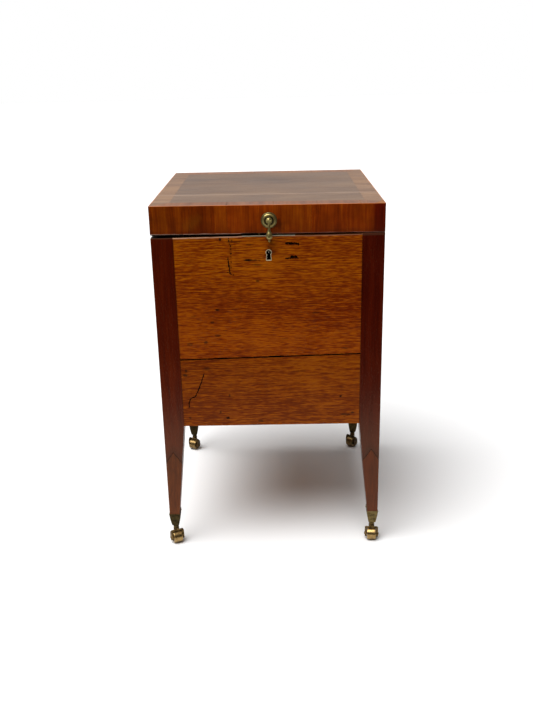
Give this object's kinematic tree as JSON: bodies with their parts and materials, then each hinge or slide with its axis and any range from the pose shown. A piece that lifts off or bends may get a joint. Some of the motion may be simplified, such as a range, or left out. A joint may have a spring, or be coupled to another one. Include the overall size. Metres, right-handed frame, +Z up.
{
  "type": "cellarette",
  "caption": "Lidded wooden bottle cabinet on square tapered legs with brass casters, a hinged crossbanded lid, a drop pull, a box lock and an inner bottle divider.",
  "frame": {"origin": "on the floor under the middle of the carcass", "axes": "+Z up, +Y towards the back (the front with the keyhole faces -Y), +X to the right of the front"},
  "size_m": [0.4611, 0.5033, 0.738],
  "materials": {
    "stile_mahogany": "satin",
    "tip_mahogany": "satin",
    "carcass_board": "satin",
    "inner_wood": "matte",
    "lid_board": "matte",
    "lid_field_veneer": "satin",
    "crossbanding": "satin",
    "sheet_brass": "satin",
    "cast_brass": "satin",
    "brass_screws": "satin",
    "steel_pin": "satin",
    "cup_brass": "matte",
    "caster_brass": "satin",
    "wheel_brass": "satin"
  },
  "bodies": {
    "carcass": {"leg_front_left": "stile_mahogany", "leg_tip_front_left": "tip_mahogany", "leg_front_right": "stile_mahogany", "leg_tip_front_right": "tip_mahogany", "leg_back_left": "stile_mahogany", "leg_back_right": "stile_mahogany", "front_upper_board": "carcass_board", "front_lower_board": "carcass_board", "side_panel_left": "carcass_board", "side_panel_right": "carcass_board", "back_panel": "carcass_board", "bottom_board": "inner_wood", "bottom_bearers": "inner_wood", "divider_slats_lengthwise": "inner_wood", "divider_slats_crosswise": "inner_wood", "divider_cleats": "inner_wood", "lock_case": "sheet_brass", "lock_cap": "sheet_brass", "lock_selvage": "sheet_brass", "lock_drill_pin": "steel_pin", "lock_screws": "brass_screws", "keyhole_escutcheon": "sheet_brass", "hinge_carcass_leaves": "sheet_brass", "hinge_pins": "steel_pin", "hinge_carcass_screws": "brass_screws", "cup_pins": "brass_screws", "caster_cup_front_left": "cup_brass", "caster_cup_front_right": "cup_brass", "caster_cup_back_left": "cup_brass", "caster_cup_back_right": "cup_brass"},
    "lid": {"lid_front_rail": "inner_wood", "lid_back_rail": "inner_wood", "lid_side_rail_left": "inner_wood", "lid_side_rail_right": "inner_wood", "lid_top_board_front": "lid_board", "lid_top_board_back": "lid_board", "lid_top_field_veneer": "lid_field_veneer", "lid_top_crossbanding": "crossbanding", "lid_front_crossbanding": "crossbanding", "lid_side_crossbanding": "crossbanding", "hinge_lid_leaves": "sheet_brass", "lid_screws": "brass_screws", "lock_link_plate": "sheet_brass", "pull_rosette": "cast_brass", "pull_stud": "cast_brass", "pull_nut": "cast_brass"},
    "drop": {"pull_drop": "cast_brass"},
    "bolt": {"lock_bolt": "sheet_brass"},
    "fork_front_left": {"caster_fork_front_left": "caster_brass", "caster_axle_front_left": "caster_brass"},
    "wheel_front_left": {"caster_wheel_front_left": "wheel_brass"},
    "fork_front_right": {"caster_fork_front_right": "caster_brass", "caster_axle_front_right": "caster_brass"},
    "wheel_front_right": {"caster_wheel_front_right": "wheel_brass"},
    "fork_back_left": {"caster_fork_back_left": "caster_brass", "caster_axle_back_left": "caster_brass"},
    "wheel_back_left": {"caster_wheel_back_left": "wheel_brass"},
    "fork_back_right": {"caster_fork_back_right": "caster_brass", "caster_axle_back_right": "caster_brass"},
    "wheel_back_right": {"caster_wheel_back_right": "wheel_brass"}
  },
  "joints": [
    {"name": "lid_hinge", "type": "hinge", "parent": "carcass", "child": "lid", "pos_m": [0, 0.244, 0.6828], "axis": [-1, 0, 0], "range_deg": [0, 95]},
    {"name": "drop_swing", "type": "hinge", "parent": "lid", "child": "drop", "pos_m": [0.0034, -0.2494, 0.7084], "axis": [-1, 0, 0], "range_deg": [-5, 100]},
    {"name": "bolt_slide", "type": "slide", "parent": "carcass", "child": "bolt", "axis": [1, 0, 0], "range_m": [0, 0.007]},
    {"name": "swivel_front_left", "type": "hinge", "parent": "carcass", "child": "fork_front_left", "pos_m": [-0.214, -0.229, 0.0365], "axis": [0, 0, 1], "continuous": true},
    {"name": "spin_front_left", "type": "hinge", "parent": "fork_front_left", "child": "wheel_front_left", "pos_m": [-0.21288, -0.23178, 0.0135], "axis": [0.9272, 0.3746, 0], "continuous": true},
    {"name": "swivel_front_right", "type": "hinge", "parent": "carcass", "child": "fork_front_right", "pos_m": [0.214, -0.229, 0.0365], "axis": [0, 0, 1], "continuous": true},
    {"name": "spin_front_right", "type": "hinge", "parent": "fork_front_right", "child": "wheel_front_right", "pos_m": [0.21369, -0.23198, 0.0135], "axis": [0.9945, -0.1045, 0], "continuous": true},
    {"name": "swivel_back_left", "type": "hinge", "parent": "carcass", "child": "fork_back_left", "pos_m": [-0.214, 0.229, 0.0365], "axis": [0, 0, 1], "continuous": true},
    {"name": "spin_back_left", "type": "hinge", "parent": "fork_back_left", "child": "wheel_back_left", "pos_m": [-0.21541, 0.22635, 0.0135], "axis": [0.8829, -0.4695, 0], "continuous": true},
    {"name": "swivel_back_right", "type": "hinge", "parent": "carcass", "child": "fork_back_right", "pos_m": [0.214, 0.229, 0.0365], "axis": [0, 0, 1], "continuous": true},
    {"name": "spin_back_right", "type": "hinge", "parent": "fork_back_right", "child": "wheel_back_right", "pos_m": [0.21199, 0.22677, 0.0135], "axis": [0.7431, -0.6691, 0], "continuous": true}
  ]
}
